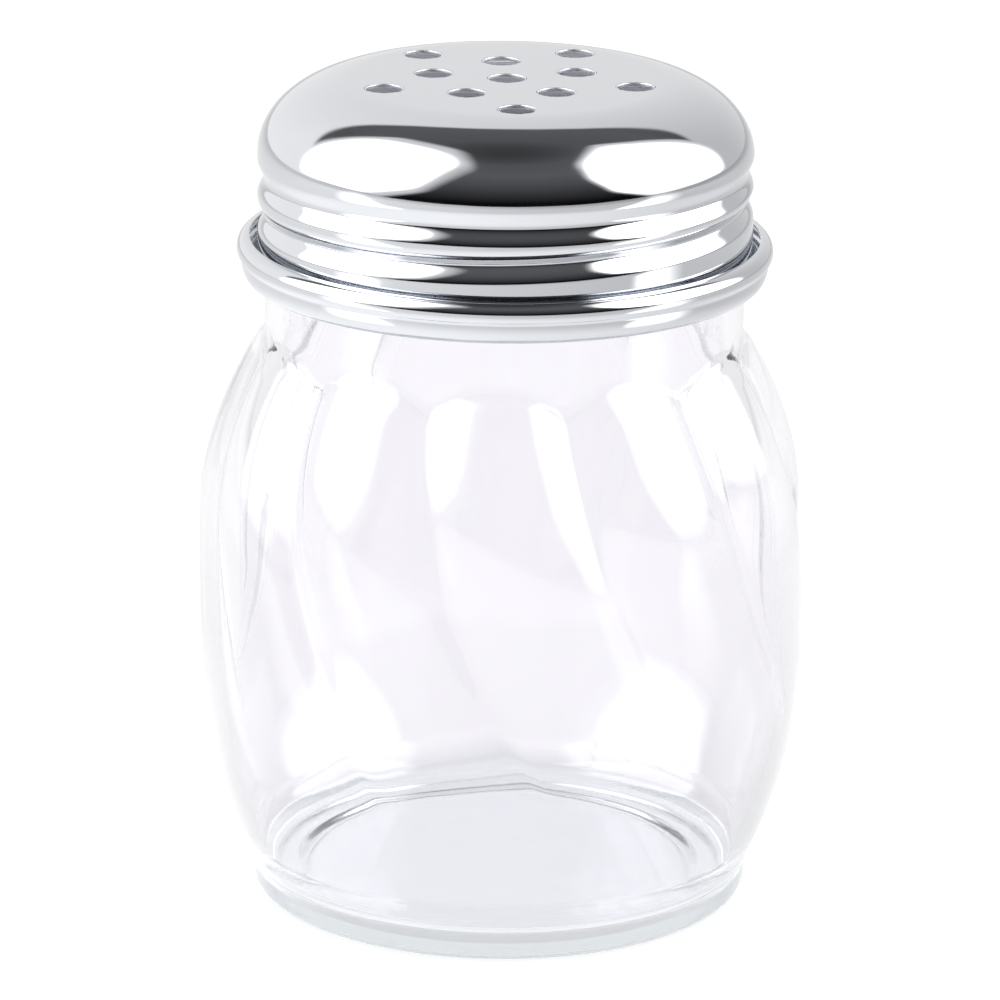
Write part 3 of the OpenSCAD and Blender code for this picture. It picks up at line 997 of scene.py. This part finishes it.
def studio_world(s):
    """The studio that the chrome and glass mirror.

    A white backdrop behind the jar, two softboxes that reach from the sides to overhead, and a
    dark room in front that is lighter towards the ceiling. Diffuse rays meet an even light.
    """
    world = bpy.data.worlds.new("white_studio")
    bpy.context.scene.world = world
    tree = empty_tree(world)
    way = node(tree, "TexCoord").outputs["Generated"]
    parts = node(tree, "SeparateXYZ", {0: way}).outputs
    path = node(tree, "LightPath").outputs
    through = path["Is Transmission Ray"]
    room = node(tree, "ValToRGB", {0: parts["Z"]})
    while len(room.color_ramp.elements) < len(ROOM_STOPS):
        room.color_ramp.elements.new(0.5)
    for stop, (at, value) in zip(room.color_ramp.elements, ROOM_STOPS):
        stop.position = at
        stop.color = (value, value, value * ROOM_BLUE, 1)
    climb = node(tree, "Math", {0: parts["Z"], 1: parts["Y"]}, operation="DIVIDE")
    under = node(tree, "MapRange", {
        0: climb, 1: BACKDROP_WHOLE_TOP, 2: BACKDROP_TOP, 3: 1.0, 4: 0.0,
    }, **SOFT)
    behind = node(tree, "MapRange", {
        0: parts["Y"], 1: BACKDROP_SIDE, 2: BACKDROP_WHOLE_SIDE,
    }, **SOFT)
    backdrop = node(tree, "Math", {0: under, 1: behind}, **PRODUCT)
    slope = node(tree, "MapRange", {
        0: parts["X"], 1: -WALL_X, 2: WALL_X, 3: WALL_LEFT, 4: WALL_RIGHT,
    })
    shade = node(tree, "MixRGB", {0: through, 1: slope, 2: WALL_THROUGH})
    wall = node(tree, "CombineColor", {0: shade, 1: shade, 2: shade})
    boxes = node(tree, "Math", {
        0: softbox(tree, way, LEFT_BOX), 1: softbox(tree, way, RIGHT_BOX),
    }, **LARGER)
    with_wall = node(tree, "MixRGB", {0: backdrop, 1: room, 2: wall})
    with_boxes = node(tree, "MixRGB", {0: 1.0, 1: with_wall, 2: boxes}, blend_type="LIGHTEN")
    # the glass shows no part of the studio darker than this, and mixed light one even tone
    least = node(tree, "Math", {0: through, 1: LEAST_THROUGH}, **PRODUCT)
    lifted = node(tree, "MixRGB", {0: 1.0, 1: with_boxes, 2: least}, blend_type="LIGHTEN")
    mixed = node(tree, "Math", {0: path["Ray Depth"], 1: MIXED_DEPTH}, operation="GREATER_THAN")
    studio = node(tree, "MixRGB", {0: mixed, 1: lifted, 2: MIXED_STUDIO})
    lit = node(tree, "MixRGB", {0: path["Is Glossy Ray"], 1: EVEN_LIGHT, 2: studio})
    white = node(tree, "MixRGB", {0: path["Is Camera Ray"], 1: lit, 2: linear(s.paper)})
    sky = node(tree, "Background", {"Color": white, "Strength": 1.0})
    node(tree, "OutputWorld", {"Surface": sky})


# places of the two soft lamps, their size and power, and the middle of the jar, where they point
LAMPS = (("lamp_left", (-0.9, -0.2, 0.9)), ("lamp_right", (0.9, 0.1, 0.9)))
LAMP_SIZE = 0.9
LAMP_POWER = 4.4
LAMP_AIM = (0, 0, 50 * MM)
# half the width of the square of paper, whose edges lie out of sight
PAPER_HALF = 15.0


def aimed(place, side, above, ahead):
    """World matrix of a lamp or camera: its place, and its right, up and forward directions."""
    turn = Matrix(np.stack([side, above, -ahead], -1).tolist())
    return Matrix.Translation(place) @ turn.to_4x4()


def lamp(name, place):
    """A large area lamp that points at the jar and lights only matte things."""
    data = bpy.data.lights.new(name, "AREA")
    data.shape = "DISK"
    data.size = LAMP_SIZE
    data.energy = LAMP_POWER
    item = bpy.data.objects.new(name, data)
    ahead = np.array(LAMP_AIM) - np.array(place)
    ahead = ahead / np.linalg.norm(ahead)
    side = np.cross(ahead, [0, 0, 1])
    side = side / np.linalg.norm(side)
    item.matrix_world = aimed(place, side, np.cross(side, ahead), ahead)
    item.visible_glossy = False
    item.visible_transmission = False
    item.visible_camera = False
    bpy.context.scene.collection.objects.link(item)


class SHAKER_OT_jar(bpy.types.Operator):
    """Makes the swirled glass jar in place of its CAD solid"""

    bl_idname = "shaker.jar"
    bl_label = "Make the glass jar"

    def execute(self, context):
        s = context.scene.shaker_jar
        rings = jar_rings(s, context.scene.shaker_lid)
        poles = (0, 0, s.push_up + FOOT_GAP), (0, 0, s.floor_t)
        points, quads, triangles = closed_surface(rings, *poles)
        piece = put_mesh("jar_glass", points, quads, triangles, glass_material(s))
        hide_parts("jar")
        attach(piece, "jar")
        return {"FINISHED"}


class SHAKER_OT_lid(bpy.types.Operator):
    """Makes the chromed lid in place of its CAD solid"""

    bl_idname = "shaker.lid"
    bl_label = "Make the chromed lid"

    def execute(self, context):
        s = context.scene.shaker_lid
        piece = make_lid(s, chrome_material(s))
        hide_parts("lid")
        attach(piece, "lid")
        return {"FINISHED"}


class SHAKER_OT_stage(bpy.types.Operator):
    """Makes the white sweep, the studio's light and the camera"""

    bl_idname = "shaker.stage"
    bl_label = "Make the stage"

    def execute(self, context):
        s = context.scene.shaker_stage
        scene = context.scene
        scene.view_settings.view_transform = "Standard"
        # light runs along inside the glass over many reflections before it leaves
        scene.cycles.max_bounces = 64
        scene.cycles.glossy_bounces = 48
        scene.cycles.transmission_bounces = 24
        corners = PAPER_HALF * np.array([(-1, -1, 0), (1, -1, 0), (1, 1, 0), (-1, 1, 0)])
        quad, no_triangles = np.array([[0, 1, 2, 3]]), np.zeros((0, 3), int)
        floor = put_mesh("paper_sweep", corners, quad, no_triangles, sweep_material(s))
        studio_world(s)
        for name, place in LAMPS:
            lamp(name, place)
        # the camera looks along the yaw and pitch, and is rolled about that direction
        eye = bpy.data.cameras.new("camera")
        eye.lens = s.lens
        eye.sensor_width = 36
        eye.clip_end = 100
        item = bpy.data.objects.new("camera", eye)
        level = np.array([-math.sin(s.yaw), math.cos(s.yaw), 0])
        ahead = math.cos(s.pitch) * level - np.array([0, 0, math.sin(s.pitch)])
        right = np.array([math.cos(s.yaw), math.sin(s.yaw), 0])
        upward = np.cross(right, ahead)
        side = math.cos(s.roll) * right + math.sin(s.roll) * upward
        above = math.cos(s.roll) * upward - math.sin(s.roll) * right
        item.matrix_world = aimed((0, s.camera_y, s.camera_z), side, above, ahead)
        scene.collection.objects.link(item)
        scene.camera = item
        return {"FINISHED"}


class SHAKER_PT_panel(bpy.types.Panel):
    """The shaker's sizes and the operators that make it"""

    bl_label = "Cheese Shaker"
    bl_idname = "SHAKER_PT_panel"
    bl_space_type = "VIEW_3D"
    bl_region_type = "UI"
    bl_category = "Shaker"

    def draw(self, context):
        layout = self.layout
        for attribute, group, operator in PARTS:
            layout.operator(operator.bl_idname)
            values = getattr(context.scene, attribute)
            for name in group.__annotations__:
                layout.prop(values, name)


PARTS = (
    ("shaker_jar", JarSizes, SHAKER_OT_jar),
    ("shaker_lid", LidSizes, SHAKER_OT_lid),
    ("shaker_stage", StageLook, SHAKER_OT_stage),
)


def register():
    """Registers the classes and hangs each group of settings on the scene."""
    for attribute, group, operator in PARTS:
        bpy.utils.register_class(group)
        bpy.utils.register_class(operator)
        setattr(bpy.types.Scene, attribute, PointerProperty(type=group))
    bpy.utils.register_class(SHAKER_PT_panel)


def unregister():
    """Takes away what register() added."""
    bpy.utils.unregister_class(SHAKER_PT_panel)
    for attribute, group, operator in reversed(PARTS):
        delattr(bpy.types.Scene, attribute)
        bpy.utils.unregister_class(operator)
        bpy.utils.unregister_class(group)


def main():
    """Makes the whole scene."""
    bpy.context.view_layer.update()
    register()
    bpy.ops.shaker.jar()
    bpy.ops.shaker.lid()
    bpy.ops.shaker.stage()
    bpy.context.view_layer.update()


if __name__ == "__main__":
    main()
